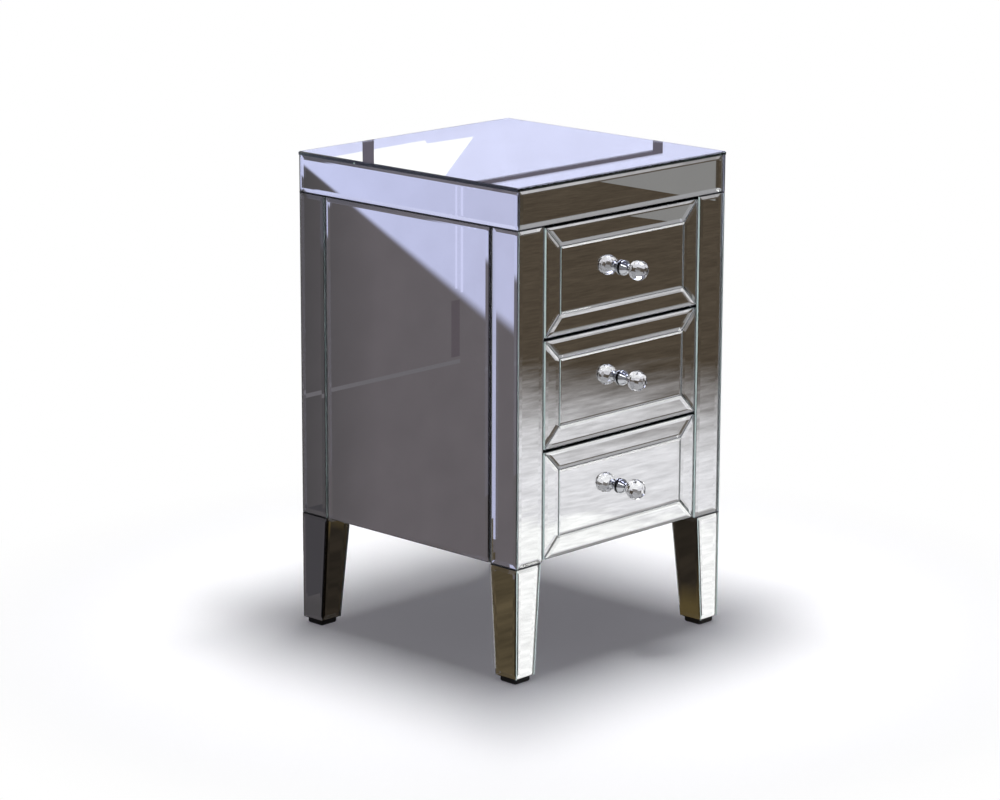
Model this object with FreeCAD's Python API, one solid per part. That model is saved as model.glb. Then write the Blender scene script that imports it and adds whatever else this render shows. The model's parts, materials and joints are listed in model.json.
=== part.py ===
import FreeCAD, Part
import math
import os

from FreeCAD import Vector

# Mirrored bedside chest with three drawers, in millimetres.
# The front faces -Y, +X is to the right and +Z is up.
# The origin is on the floor, at the middle of the space that the chest and its knobs take.

# Overall size
width = 400.0              # over the side mirrors
depth = 400.0              # front mirrors to the back edge, without the knobs
height = 650.0             # floor to the top mirror

# Mirror glass
glass = 4.0                # body, fascia and drawer mirrors
top_glass = 5.0
leg_glass = 3.0
bevel_width = 5.5          # ground slope along each mirror's edge
bevel_depth = 1.1
border_bevel_width = 4.5   # on the border mirrors of a drawer
border_bevel_depth = 0.9
centre_bevel_width = 2.4   # round a drawer's centre mirror
centre_bevel_depth = 0.48
top_arris = 1.4            # small chamfer round the top mirror
leg_bevel_width = 5.5
leg_bevel_depth = 0.9
mirror_joint = 0.5         # between neighbouring mirrors in one face
corner_joint = 0.3         # between mirrors that meet at a corner
band_gap = 2.0             # dark line under the fascia and over the legs
panel_gap = 4.0            # dark line between a stile and the side mirror
lip_set = 0.6              # from the mirrors' faces to the black lip in a band gap
lip_play = 0.3             # over and under the lip

# Height of the bands
fascia_height = 49.0
leg_height = 149.0
glide_height = 7.0

# Carcass boards
post = 46.0                # square corner post
side_board = 15.0
bottom_board = 12.0
back_board = 5.0
back_inset = 3.0           # back panel behind the posts' rear faces
top_board = 18.0
apron_board = 18.0

# Legs and their fixings
leg_top = 47.0             # square, over the mirrors
leg_foot = 36.5
leg_reveal = 1.0           # wood below the leg's mirrors
bolt_diameter = 8.0
bolt_length = 70.0
bolt_clearance = 0.1
glide_side = 29.0          # square foot under the leg
glide_corner = 4.0         # radius of its upright corners
glide_chamfer = 1.6        # at the floor

# Drawer fronts
drawer_names = ["top", "middle", "bottom"]
drawer_gap = 4.0           # above each front, and at its two ends
drawer_foot_gap = 2.0      # under the lowest front
border_width = 27.0
border_fall = 0.4          # border mirrors lean back by this much at the outer edge
front_board = 16.0

# Drawer boxes
box_side = 14.0
box_back = 12.0
box_floor = 4.0
box_height = 104.0
box_rise = 14.0            # from the lower edge of the front to the sides
box_rear_gap = 22.0        # from the box to the back panel
floor_rise = 6.0           # from the lower edge of the sides to the floor panel
floor_tongue = 5.0         # floor panel's edge in the side's groove
tongue_gap = 0.4

# Drawer runners
runner_height = 16.0
runner_rise = 46.0         # from the lower edge of the sides to the runner
runner_tongue = 7.0        # runner's part inside the drawer side's groove
runner_seat_gap = 0.3      # drawer side over the runner
runner_under_gap = 0.6
runner_tip_gap = 1.0
runner_front_gap = 2.0     # from the front board to the runner
runner_rear_gap = 1.0

# Knob
ball_diameter = 26.0
ball_seat = 11.5           # centre of the ball to its flat seat
base_length = 13.2
base_flange = 20.0         # diameter on the mirror
base_flange_edge = 1.3
base_shoulder = 17.0       # diameter where the bell turns in
base_shoulder_place = 3.8  # from the mirror
base_neck = 9.6            # diameter of the narrowest part
base_neck_place = 9.2
base_cup = 13.4            # diameter under the ball
screw_diameter = 4.0
screw_grip = 8.0           # screw's end inside the base
screw_head = 8.0
screw_head_height = 2.6
screw_clearance = 0.25
thread_clearance = 0.05

# Facets of the knob: angle from the knob's axis, and how many stand round it
facet_rings = [(27.0, 6), (52.0, 12), (77.0, 12), (103.0, 12), (128.0, 12)]

# Places that follow from the sizes
knob_reach = base_length + ball_seat + ball_diameter / 2
front = (knob_reach - depth) / 2
back = front + depth
side = width / 2
carcass_front = front + glass
carcass_side = side - glass
body_bottom = glide_height + leg_height
fascia_top = height - top_glass
body_top = fascia_top - fascia_height
opening = carcass_side - post
back_panel_front = back - back_inset - back_board
drawer_half = opening - drawer_gap
drawer_room = body_top - body_bottom - drawer_foot_gap
drawer_pitch = drawer_room / len(drawer_names)
border_wall = glass * math.hypot(1.0, border_fall / border_width)
front_board_face = front + border_wall
front_board_back = front_board_face + front_board
box_rear = back_panel_front - box_rear_gap
leg_slope = (leg_top - leg_foot) / leg_height
leg_wall = leg_glass * math.hypot(1.0, leg_slope)

right_way = Vector(1, 0, 0)
rear_way = Vector(0, 1, 0)
up_way = Vector(0, 0, 1)


def block(x_range, y_range, z_range):
    low = Vector(x_range[0], y_range[0], z_range[0])
    high = Vector(x_range[1], y_range[1], z_range[1])
    size = high - low
    return Part.makeBox(size.x, size.y, size.z, low)


def rod(diameter, start, direction, length):
    return Part.makeCylinder(diameter / 2, length, start, direction)


def turned(profile, base, axis):
    # A solid turned from a half profile, a list of radius and place along the axis
    across = right_way
    corners = [across * radius + axis * place for radius, place in profile]
    solid = outline_face(corners).revolve(Vector(0, 0, 0), axis, 360)
    solid.translate(base)
    return solid


def outline_face(points):
    return Part.Face(Part.makePolygon(points + points[:1]))


def ring_solid(rings):
    # A solid with flat faces through outlines that have the same number of corners
    faces = [outline_face(rings[0]), outline_face(rings[-1])]
    for lower, upper in zip(rings, rings[1:]):
        for i in range(len(lower)):
            faces.append(outline_face([lower[i - 1], lower[i], upper[i], upper[i - 1]]))
    solid = Part.Solid(Part.Shell(faces))
    if solid.Volume < 0:
        solid.reverse()
    return solid


def inset(corners, distance):
    # Moves every edge of a flat outline inwards by the same distance
    moved = []
    for i, corner in enumerate(corners):
        behind = (corners[i - 1] - corner).normalize()
        ahead = (corners[(i + 1) % len(corners)] - corner).normalize()
        sine = behind.cross(ahead).Length
        moved.append(corner + (behind + ahead) * (distance / sine))
    return moved


def mirror_plate(corners, into, thickness, slope_width, slope_depth):
    # A sheet of glass behind the given outline, with its front edges ground to a slope
    normal = (corners[1] - corners[0]).cross(corners[2] - corners[1]).normalize()
    if normal.dot(into) < 0:
        normal = normal * -1
    rim = [corner + normal * slope_depth for corner in corners]
    rear = [corner + normal * thickness for corner in corners]
    return ring_solid([rear, rim, inset(corners, slope_width)])


def side_outline(x, y_range, z_range):
    return [Vector(x, y_range[0], z_range[0]), Vector(x, y_range[1], z_range[0]),
            Vector(x, y_range[1], z_range[1]), Vector(x, y_range[0], z_range[1])]


def front_outline(y, x_range, z_range):
    return [Vector(x_range[0], y, z_range[0]), Vector(x_range[1], y, z_range[0]),
            Vector(x_range[1], y, z_range[1]), Vector(x_range[0], y, z_range[1])]


def top_outline(z, x_range, y_range):
    return [Vector(x_range[0], y_range[0], z), Vector(x_range[1], y_range[0], z),
            Vector(x_range[1], y_range[1], z), Vector(x_range[0], y_range[1], z)]


def body_mirror(corners, into):
    return mirror_plate(corners, into, glass, bevel_width, bevel_depth)


def to_right(shape):
    return shape.mirror(Vector(0, 0, 0), right_way)


def to_rear(shape):
    return shape.mirror(Vector(0, (front + back) / 2, 0), rear_way)


def group(shapes):
    return Part.makeCompound(shapes)


def make_top():
    across = (-side, side)
    along = (front, back)
    sheet = mirror_plate(top_outline(height, across, along), up_way * -1, top_glass, top_arris, top_arris)
    board_low = fascia_top - top_board
    board = block((-carcass_side, carcass_side), (carcass_front, back), (board_low, fascia_top))
    band = (body_top, board_low)
    front_rail = block((-carcass_side, carcass_side), (carcass_front, carcass_front + apron_board), band)
    rear_rail = block((-carcass_side, carcass_side), (back - apron_board, back), band)
    side_run = (carcass_front + apron_board, back - apron_board)
    left_rail = block((-carcass_side, apron_board - carcass_side), side_run, band)
    fascia = (body_top, fascia_top)
    fascia_half = carcass_side - corner_joint
    fascia_front = body_mirror(front_outline(front, (-fascia_half, fascia_half), fascia), rear_way)
    fascia_left = body_mirror(side_outline(-side, along, fascia), right_way)
    return {
        "top_mirror": sheet,
        "top_board": board,
        "apron_rails": group([front_rail, rear_rail, left_rail, to_right(left_rail)]),
        "fascia_mirror_front": fascia_front,
        "fascia_mirror_left": fascia_left,
        "fascia_mirror_right": to_right(fascia_left),
    }


def bolt_places():
    # Leg centres at the front left and the rear left
    reach = leg_top / 2
    return [Vector(reach - side, front + reach, body_bottom), Vector(reach - side, back - reach, body_bottom)]


def bolt_hole(place):
    low = place - up_way * (bolt_length / 2)
    return rod(bolt_diameter + 2 * bolt_clearance, low, up_way, bolt_length)


def make_carcass():
    # Posts and side panels carry a thin lip that fills the joint under the fascia mirrors
    standing = (body_bottom, body_top)
    post_x = (-carcass_side, -opening)
    front_post = block(post_x, (carcass_front, carcass_front + post), standing)
    rear_post = block(post_x, (back - post, back), standing)
    front_hole, rear_hole = [bolt_hole(place) for place in bolt_places()]
    front_post = front_post.cut(front_hole)
    rear_post = rear_post.cut(rear_hole)
    panel_run = (carcass_front + post, back - post)
    panel = block((-carcass_side, side_board - carcass_side), panel_run, standing)
    lip_level = (body_top - band_gap + lip_play, body_top - lip_play)
    front_lip = block((lip_set - side, -opening), (front + lip_set, carcass_front + post), lip_level)
    rear_lip = block((lip_set - side, -opening), (back - post, back), lip_level)
    panel_lip = block((lip_set - side, side_board - carcass_side), panel_run, lip_level)
    front_post = front_post.fuse(front_lip).removeSplitter()
    rear_post = rear_post.fuse(rear_lip).removeSplitter()
    panel = panel.fuse(panel_lip).removeSplitter()
    back_panel = block((-opening, opening), (back_panel_front, back - back_inset), standing)
    floor_front = front_board_back + runner_front_gap
    floor_level = (body_bottom, body_bottom + bottom_board)
    floor_wide = block((side_board - carcass_side, carcass_side - side_board), panel_run, floor_level)
    floor_long = block((-opening, opening), (floor_front, back_panel_front), floor_level)
    return {
        "corner_post_front_left": front_post,
        "corner_post_front_right": to_right(front_post),
        "corner_post_rear_left": rear_post,
        "corner_post_rear_right": to_right(rear_post),
        "side_panel_left": panel,
        "side_panel_right": to_right(panel),
        "back_panel": back_panel,
        "bottom_panel": floor_long.fuse(floor_wide).removeSplitter(),
    }


def make_body_mirrors():
    tall = (body_bottom, body_top - band_gap)
    front_strip = body_mirror(side_outline(-side, (front, front + post), tall), right_way)
    rear_strip = body_mirror(side_outline(-side, (back - post, back), tall), right_way)
    middle_run = (front + post + panel_gap, back - post - panel_gap)
    middle = body_mirror(side_outline(-side, middle_run, tall), right_way)
    stile_x = (corner_joint - carcass_side, -opening)
    stile = body_mirror(front_outline(front, stile_x, tall), rear_way)
    side_strips = group([front_strip, rear_strip])
    return {
        "side_mirror_left": middle,
        "side_mirror_right": to_right(middle),
        "stile_mirrors_left": side_strips,
        "stile_mirrors_right": to_right(side_strips),
        "stile_mirrors_front": group([stile, to_right(stile)]),
    }


def leg_reach(z):
    # How far the leg reaches in from the chest's corner at this height
    return leg_foot + leg_slope * (z - glide_height)


def leg_point(x_reach, y_reach, z):
    return Vector(x_reach - side, front + y_reach, z)


def leg_ring(z):
    near = leg_glass
    far = leg_reach(z) - leg_wall
    return [leg_point(near, near, z), leg_point(far, near, z), leg_point(far, far, z), leg_point(near, far, z)]


def leg_mirror(corners, into):
    return mirror_plate(corners, into, leg_glass, leg_bevel_width, leg_bevel_depth)


def make_leg():
    # The front left leg: its outer faces are upright and its inner faces taper,
    # and a thin collar covers the upper ends of its mirrors
    low = glide_height + leg_reveal
    high = body_bottom - band_gap
    foot = leg_reach(low)
    head = leg_reach(high)
    near = leg_glass + corner_joint
    foot_far = foot - leg_wall - corner_joint
    head_far = head - leg_wall - corner_joint
    outer = [leg_point(0, 0, low), leg_point(0, foot, low), leg_point(0, head, high), leg_point(0, 0, high)]
    inner = [leg_point(foot, 0, low), leg_point(foot, foot, low),
             leg_point(head, head, high), leg_point(head, 0, high)]
    fore = [leg_point(near, 0, low), leg_point(foot_far, 0, low),
            leg_point(head_far, 0, high), leg_point(near, 0, high)]
    rear = [leg_point(near, foot, low), leg_point(foot_far, foot, low),
            leg_point(head_far, head, high), leg_point(near, head, high)]
    plates = [leg_mirror(outer, right_way), leg_mirror(inner, right_way * -1),
              leg_mirror(fore, rear_way), leg_mirror(rear, rear_way * -1)]
    core = ring_solid([leg_ring(glide_height), leg_ring(body_bottom)])
    collar_low = leg_point(lip_set, lip_set, high + lip_play)
    collar_side = head - 2 * lip_set
    collar = Part.makeBox(collar_side, collar_side, band_gap - 2 * lip_play, collar_low)
    core = core.fuse(collar).removeSplitter().cut(bolt_hole(bolt_places()[0]))
    return core, group(plates)


def make_glide():
    # A black foot under the front left leg, with round corners and a chamfer at the floor
    near = (leg_glass + leg_foot - leg_wall - glide_side) / 2
    pad = Part.makeBox(glide_side, glide_side, glide_height, leg_point(near, near, 0))
    upright = [edge for edge in pad.Edges if edge.BoundBox.ZLength > glide_height / 2]
    pad = pad.makeFillet(glide_corner, upright)
    rim = [edge for edge in pad.Edges if edge.BoundBox.ZMax < glide_height / 2]
    return pad.makeChamfer(glide_chamfer, rim)


def at_four_corners(shape):
    return [shape, to_right(shape), to_rear(shape), to_right(to_rear(shape))]


def make_legs():
    core, plates = make_leg()
    pieces = {}
    places = ["front_left", "front_right", "rear_left", "rear_right"]
    for place, leg, cladding in zip(places, at_four_corners(core), at_four_corners(plates)):
        pieces["leg_" + place] = leg
        pieces["leg_mirrors_" + place] = cladding
    bolt_low = bolt_places()[0] - up_way * (bolt_length / 2)
    bolt = rod(bolt_diameter, bolt_low, up_way, bolt_length)
    pieces["leg_bolts"] = group(at_four_corners(bolt))
    pieces["floor_glides"] = group(at_four_corners(make_glide()))
    return pieces


def make_front_board(low, high, knob_z):
    across = (-drawer_half, drawer_half)
    tall = (low, high)
    rear = front_outline(front_board_back, across, tall)
    rim = front_outline(front_board_face + border_fall, across, tall)
    field = inset(front_outline(front_board_face, across, tall), border_width)
    hole_diameter = screw_diameter + 2 * screw_clearance
    hole = rod(hole_diameter, Vector(0, front, knob_z), rear_way, front_board_back - front)
    return ring_solid([rear, rim, field]).cut(hole)


def make_border(low, high):
    # Four mirrors, mitred at the corners, that lean back from the centre mirror
    outer = front_outline(front + border_fall, (-drawer_half, drawer_half), (low, high))
    inner = inset(front_outline(front, (-drawer_half, drawer_half), (low, high)), border_width)
    strips = []
    for i in range(len(outer)):
        corners = [outer[i - 1], outer[i], inner[i], inner[i - 1]]
        sheet = inset(corners, mirror_joint / 2)
        strips.append(mirror_plate(sheet, rear_way, glass, border_bevel_width, border_bevel_depth))
    return group(strips)


def make_centre_mirror(low, high, knob_z):
    outline = front_outline(front, (-drawer_half, drawer_half), (low, high))
    field = inset(outline, border_width + mirror_joint / 2)
    sheet = mirror_plate(field, rear_way, glass, centre_bevel_width, centre_bevel_depth)
    hole = rod(screw_diameter + 2 * screw_clearance, Vector(0, front, knob_z), rear_way, glass)
    return sheet.cut(hole)


def runner_level(box_low):
    return (box_low + runner_rise, box_low + runner_rise + runner_height)


def make_box(box_low):
    box_high = box_low + box_height
    run = (front_board_back, box_rear)
    inner_half = drawer_half - box_side
    left = block((-drawer_half, -inner_half), run, (box_low, box_high))
    runner_low, runner_high = runner_level(box_low)
    groove_end = opening - drawer_gap - runner_tongue - runner_tip_gap
    groove = block((-drawer_half, -groove_end), run,
                   (runner_low - runner_under_gap, runner_high + runner_seat_gap))
    floor_low = box_low + floor_rise
    floor_high = floor_low + box_floor
    slot = block((-inner_half - floor_tongue - tongue_gap, -inner_half), run, (floor_low, floor_high))
    left = left.cut(groove).cut(slot)
    floor_half = inner_half + floor_tongue
    floor = block((-floor_half, floor_half), run, (floor_low, floor_high))
    rear = block((-inner_half, inner_half), (box_rear - box_back, box_rear), (floor_high, box_high))
    return group([left, to_right(left)]), rear, floor


def make_runners(box_low):
    reach = drawer_gap + runner_tongue
    run = (front_board_back + runner_front_gap, back_panel_front - runner_rear_gap)
    left = block((-opening, reach - opening), run, runner_level(box_low))
    return group([left, to_right(left)])


def make_ball(knob_z):
    # A ball of cut crystal: each facet is ground flat where it touches the round form
    radius = ball_diameter / 2
    centre_y = front - base_length - ball_seat
    blank = block((-radius, radius), (-radius, ball_seat), (-radius, radius))
    for ring, (tilt, count) in enumerate(facet_rings):
        for step in range(count):
            turn = 2 * math.pi * (step + 0.5 * (ring % 2)) / count
            tip = math.radians(tilt)
            facing = Vector(math.sin(tip) * math.cos(turn), -math.cos(tip), math.sin(tip) * math.sin(turn))
            waste = Part.makeBox(2 * ball_diameter, 2 * ball_diameter, ball_diameter)
            waste.translate(Vector(-ball_diameter, -ball_diameter, radius))
            waste.Placement = FreeCAD.Placement(Vector(0, 0, 0), FreeCAD.Rotation(up_way, facing)) * waste.Placement
            blank = blank.cut(waste)
    blank.translate(Vector(0, centre_y, knob_z))
    return blank


def make_base(knob_z):
    # Chrome base on the mirror: a bell with a flange, a narrow neck and a cup under the ball
    profile = [
        (0, 0),
        (base_flange / 2, 0),
        (base_flange / 2, base_flange_edge),
        (base_shoulder / 2, base_shoulder_place),
        (base_neck / 2, base_neck_place),
        (base_cup / 2, base_length),
        (0, base_length),
    ]
    foot = Vector(0, front, knob_z)
    forward = rear_way * -1
    thread = rod(screw_diameter + 2 * thread_clearance, foot, forward, screw_grip)
    return turned(profile, foot, forward).cut(thread)


def make_screw(knob_z):
    head = rod(screw_head, Vector(0, front_board_back, knob_z), rear_way, screw_head_height)
    shank_start = Vector(0, front - screw_grip, knob_z)
    shank = rod(screw_diameter, shank_start, rear_way, front_board_back - front + screw_grip)
    return head.fuse(shank).removeSplitter()


def make_drawer(name, low):
    high = low + drawer_pitch - drawer_gap
    knob_z = (low + high) / 2
    box_low = low + box_rise
    box_sides, box_rear_board, floor = make_box(box_low)
    return {
        "runners_" + name: make_runners(box_low),
        "drawer_%s_front_board" % name: make_front_board(low, high, knob_z),
        "drawer_%s_border_mirrors" % name: make_border(low, high),
        "drawer_%s_centre_mirror" % name: make_centre_mirror(low, high, knob_z),
        "drawer_%s_box_sides" % name: box_sides,
        "drawer_%s_box_back" % name: box_rear_board,
        "drawer_%s_box_floor" % name: floor,
        "drawer_%s_knob_ball" % name: make_ball(knob_z),
        "drawer_%s_knob_base" % name: make_base(knob_z),
        "drawer_%s_knob_screw" % name: make_screw(knob_z),
    }


pieces = {}
pieces.update(make_top())
pieces.update(make_carcass())
pieces.update(make_body_mirrors())
pieces.update(make_legs())
for level, name in enumerate(reversed(drawer_names)):
    pieces.update(make_drawer(name, body_bottom + drawer_foot_gap + level * drawer_pitch))

os.makedirs("parts", exist_ok=True)
for name, shape in pieces.items():
    if not shape.isValid():
        print("not valid:", name)
    shape.exportStep("parts/%s.step" % name)
print(len(pieces), "nodes,", sum(len(shape.Solids) for shape in pieces.values()), "solids")
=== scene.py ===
import bpy
import bmesh
import json
import math
from mathutils import Matrix, Quaternion, Vector


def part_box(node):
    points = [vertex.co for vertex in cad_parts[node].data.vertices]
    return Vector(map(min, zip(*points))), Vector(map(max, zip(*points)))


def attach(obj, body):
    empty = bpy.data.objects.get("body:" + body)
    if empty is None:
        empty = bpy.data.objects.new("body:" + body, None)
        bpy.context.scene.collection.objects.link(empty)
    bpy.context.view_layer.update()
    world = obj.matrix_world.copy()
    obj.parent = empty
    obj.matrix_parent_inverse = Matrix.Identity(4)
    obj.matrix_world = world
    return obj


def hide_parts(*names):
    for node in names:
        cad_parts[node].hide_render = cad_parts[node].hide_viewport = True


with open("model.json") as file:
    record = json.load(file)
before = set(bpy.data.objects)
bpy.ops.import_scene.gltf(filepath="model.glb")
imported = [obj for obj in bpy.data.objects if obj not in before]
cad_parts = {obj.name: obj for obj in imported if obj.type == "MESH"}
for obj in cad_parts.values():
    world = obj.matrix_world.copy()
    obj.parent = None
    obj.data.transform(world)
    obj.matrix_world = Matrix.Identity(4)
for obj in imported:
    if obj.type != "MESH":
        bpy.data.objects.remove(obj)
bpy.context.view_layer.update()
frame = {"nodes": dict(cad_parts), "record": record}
nodes = frame["nodes"]
mm = 0.001
print("frame loaded:", len(nodes), "nodes")


def linear(hexColour):
    # sRGB hex to the linear colour that shaders take
    channels = [int(hexColour[i:i + 2], 16) / 255 for i in (1, 3, 5)]
    return [c / 12.92 if c <= 0.04045 else ((c + 0.055) / 1.055) ** 2.4 for c in channels] + [1.0]


def addNode(tree, kind, inputs=None, **settings):
    # settings are the node's own options, inputs are plain values or sockets to link
    node = tree.nodes.new(kind)
    for name, value in settings.items():
        setattr(node, name, value)
    for key, value in (inputs or {}).items():
        if isinstance(value, bpy.types.NodeSocket):
            tree.links.new(value, node.inputs[key])
        else:
            node.inputs[key].default_value = value
    return node


def newMaterial(name):
    material = bpy.data.materials.new(name)
    material.use_nodes = True
    tree = material.node_tree
    tree.nodes.clear()
    output = addNode(tree, "ShaderNodeOutputMaterial")
    place = addNode(tree, "ShaderNodeTexCoord").outputs["Object"]
    return material, tree, output, place


def perMetre(sizeMm):
    # texture scale at which one repeat is about this long
    return 1.0 / (sizeMm * mm)


mirrorLook = {
    "tint": "#fdfdfe", "ior": 1.52,
    "depthTint": "#a9d3bf",        # what a long way through float glass leaves of white
    "absorption": 5.0,             # per metre
    "rippleMm": 95.0,              # slow waves of mirror-grade float glass
    "rippleHeightMm": 0.006,
    "smearMm": 38.0, "smearFrom": 0.52, "smearTo": 0.8, "smearRoughness": 0.010,
    "edgeFacing": 0.5,             # faces that point less than this along faceAxis are edges
    "groundEdge": {"roughness": 0.60, "tint": "#eef7f5"},     # where the wheel leaves the glass matt
    "smoothEdge": {"roughness": 0.22, "tint": "#5f7873"},     # where it is smoothed, as on the top
}


def mirrorGlass(name, faceAxis=None, edgeKind="groundEdge"):
    # Float glass, polished with ground edges: clear, faintly green along its length, with a slow ripple.
    # faceAxis is the way that the sheet's broad faces point; the other faces are its ground edges.
    look = mirrorLook
    material, tree, output, place = newMaterial(name)
    ripple = addNode(tree, "ShaderNodeTexNoise", {
        "Vector": place, "Scale": perMetre(look["rippleMm"]), "Detail": 1.0})
    bump = addNode(tree, "ShaderNodeBump", {
        "Height": ripple.outputs["Fac"], "Distance": look["rippleHeightMm"] * mm, "Strength": 1.0})
    smear = addNode(tree, "ShaderNodeTexNoise", {
        "Vector": place, "Scale": perMetre(look["smearMm"]), "Detail": 5.0})
    haze = addNode(tree, "ShaderNodeMapRange", {
        "Value": smear.outputs["Fac"], "From Min": look["smearFrom"], "From Max": look["smearTo"],
        "To Min": 0.0, "To Max": look["smearRoughness"]})
    roughness, colour = haze.outputs["Result"], linear(look["tint"])
    if faceAxis:
        edge = look[edgeKind]
        facing = addNode(tree, "ShaderNodeNewGeometry")
        parts = addNode(tree, "ShaderNodeSeparateXYZ", {"Vector": facing.outputs["Normal"]})
        square = addNode(tree, "ShaderNodeMath", {0: parts.outputs[faceAxis]}, operation="ABSOLUTE")
        onEdge = addNode(tree, "ShaderNodeMath", {0: square.outputs[0], 1: look["edgeFacing"]},
                         operation="LESS_THAN")
        ground = addNode(tree, "ShaderNodeMix", {
            "Factor": onEdge.outputs[0], "A": roughness, "B": edge["roughness"]})
        stain = addNode(tree, "ShaderNodeMix", {
            "Factor": onEdge.outputs[0], "A": colour, "B": linear(edge["tint"])}, data_type="RGBA")
        roughness, colour = ground.outputs["Result"], stain.outputs["Result"]
    glass = addNode(tree, "ShaderNodeBsdfPrincipled", {
        "Base Color": colour, "Roughness": roughness, "IOR": look["ior"], "Transmission Weight": 1.0,
        "Normal": bump.outputs["Normal"]})
    body = addNode(tree, "ShaderNodeVolumeAbsorption", {
        "Color": linear(look["depthTint"]), "Density": look["absorption"]})
    tree.links.new(glass.outputs["BSDF"], output.inputs["Surface"])
    tree.links.new(body.outputs["Volume"], output.inputs["Volume"])
    return material


groundLook = {"grindMm": 1.5, "roughness": 0.7}      # the grind is drawn coarser than it is, so that it shows


def groundGlass(name, dark, light):
    # Cut and ground glass: the pale sea-green line along the edge of each mirror; in white it is a painted
    # highlight on the upper bevel of a centre mirror
    look = groundLook
    material, tree, output, place = newMaterial(name)
    grind = addNode(tree, "ShaderNodeTexNoise", {
        "Vector": place, "Scale": perMetre(look["grindMm"]), "Detail": 3.0})
    tone = addNode(tree, "ShaderNodeMix", {
        "Factor": grind.outputs["Fac"], "A": linear(dark), "B": linear(light)}, data_type="RGBA")
    shader = addNode(tree, "ShaderNodeBsdfPrincipled", {
        "Base Color": tone.outputs["Result"], "Roughness": look["roughness"]})
    tree.links.new(shader.outputs["BSDF"], output.inputs["Surface"])
    return material


silverLook = {"dull": "#f3f3f2", "bright": "#fafaf9", "cloudMm": 70.0}


def silverCoat():
    # Silver laid on the rear of the glass: a bright, neutral mirror with faint clouding
    look = silverLook
    material, tree, output, place = newMaterial("mirror silver")
    cloud = addNode(tree, "ShaderNodeTexNoise", {
        "Vector": place, "Scale": perMetre(look["cloudMm"]), "Detail": 3.0})
    shade = addNode(tree, "ShaderNodeMix", {
        "Factor": cloud.outputs["Fac"], "A": linear(look["dull"]), "B": linear(look["bright"])},
        data_type="RGBA")
    shader = addNode(tree, "ShaderNodeBsdfPrincipled", {
        "Base Color": shade.outputs["Result"], "Metallic": 1.0, "Roughness": 0.0})
    tree.links.new(shader.outputs["BSDF"], output.inputs["Surface"])
    return material


paintLook = {"peelMm": 1.8, "peelHeightMm": 0.06, "dustMm": 40.0, "sheenSpread": 0.08}


def blackPaint(name, dark, light, roughness):
    # Fibreboard sprayed black: an even satin with orange peel and a little dust
    look = paintLook
    material, tree, output, place = newMaterial(name)
    peel = addNode(tree, "ShaderNodeTexNoise", {
        "Vector": place, "Scale": perMetre(look["peelMm"]), "Detail": 3.0})
    bump = addNode(tree, "ShaderNodeBump", {
        "Height": peel.outputs["Fac"], "Distance": look["peelHeightMm"] * mm, "Strength": 0.5})
    dust = addNode(tree, "ShaderNodeTexNoise", {
        "Vector": place, "Scale": perMetre(look["dustMm"]), "Detail": 5.0})
    shade = addNode(tree, "ShaderNodeMix", {
        "Factor": dust.outputs["Fac"], "A": linear(dark), "B": linear(light)}, data_type="RGBA")
    sheen = addNode(tree, "ShaderNodeMapRange", {
        "Value": dust.outputs["Fac"], "To Min": roughness - look["sheenSpread"],
        "To Max": roughness + look["sheenSpread"]})
    shader = addNode(tree, "ShaderNodeBsdfPrincipled", {
        "Base Color": shade.outputs["Result"], "Roughness": sheen.outputs["Result"],
        "Normal": bump.outputs["Normal"]})
    tree.links.new(shader.outputs["BSDF"], output.inputs["Surface"])
    return material


foilLook = {
    "dark": "#1d1c1c", "light": "#343231", "roughFrom": 0.38, "roughTo": 0.6,
    "poreMm": 1.1, "poreHeightMm": 0.08, "streakMm": 9.0,
    "drawnOut": 0.05,              # texture scale along the board
}


def grainedFoil(name, along):
    # Chipboard wrapped in black paper foil: fine pressed pores that run along the board
    look = foilLook
    material, tree, output, place = newMaterial(name)
    drawn = addNode(tree, "ShaderNodeMapping", {
        "Vector": place, "Scale": [look["drawnOut"] if axis == along else 1.0 for axis in "XYZ"]})
    pore = addNode(tree, "ShaderNodeTexNoise", {
        "Vector": drawn.outputs["Vector"], "Scale": perMetre(look["poreMm"]), "Detail": 4.0})
    streak = addNode(tree, "ShaderNodeTexNoise", {
        "Vector": drawn.outputs["Vector"], "Scale": perMetre(look["streakMm"]), "Detail": 3.0})
    bump = addNode(tree, "ShaderNodeBump", {
        "Height": pore.outputs["Fac"], "Distance": look["poreHeightMm"] * mm, "Strength": 0.6})
    shade = addNode(tree, "ShaderNodeMix", {
        "Factor": streak.outputs["Fac"], "A": linear(look["dark"]), "B": linear(look["light"])},
        data_type="RGBA")
    sheen = addNode(tree, "ShaderNodeMapRange", {
        "Value": pore.outputs["Fac"], "To Min": look["roughFrom"], "To Max": look["roughTo"]})
    shader = addNode(tree, "ShaderNodeBsdfPrincipled", {
        "Base Color": shade.outputs["Result"], "Roughness": sheen.outputs["Result"],
        "Normal": bump.outputs["Normal"]})
    tree.links.new(shader.outputs["BSDF"], output.inputs["Surface"])
    return material


beechLook = {
    "wood": "#c9a27c", "band": "#b98a62", "fleck": "#8d623f", "roughness": 0.48,
    "bandMm": 6.0, "fleckMm": 0.7, "fleckFrom": 0.62, "fleckTo": 0.7, "fleckDepthMm": 0.05,
    "drawnOut": (1.0, 0.12, 1.0),  # texture scale, long along the runner
}


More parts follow.
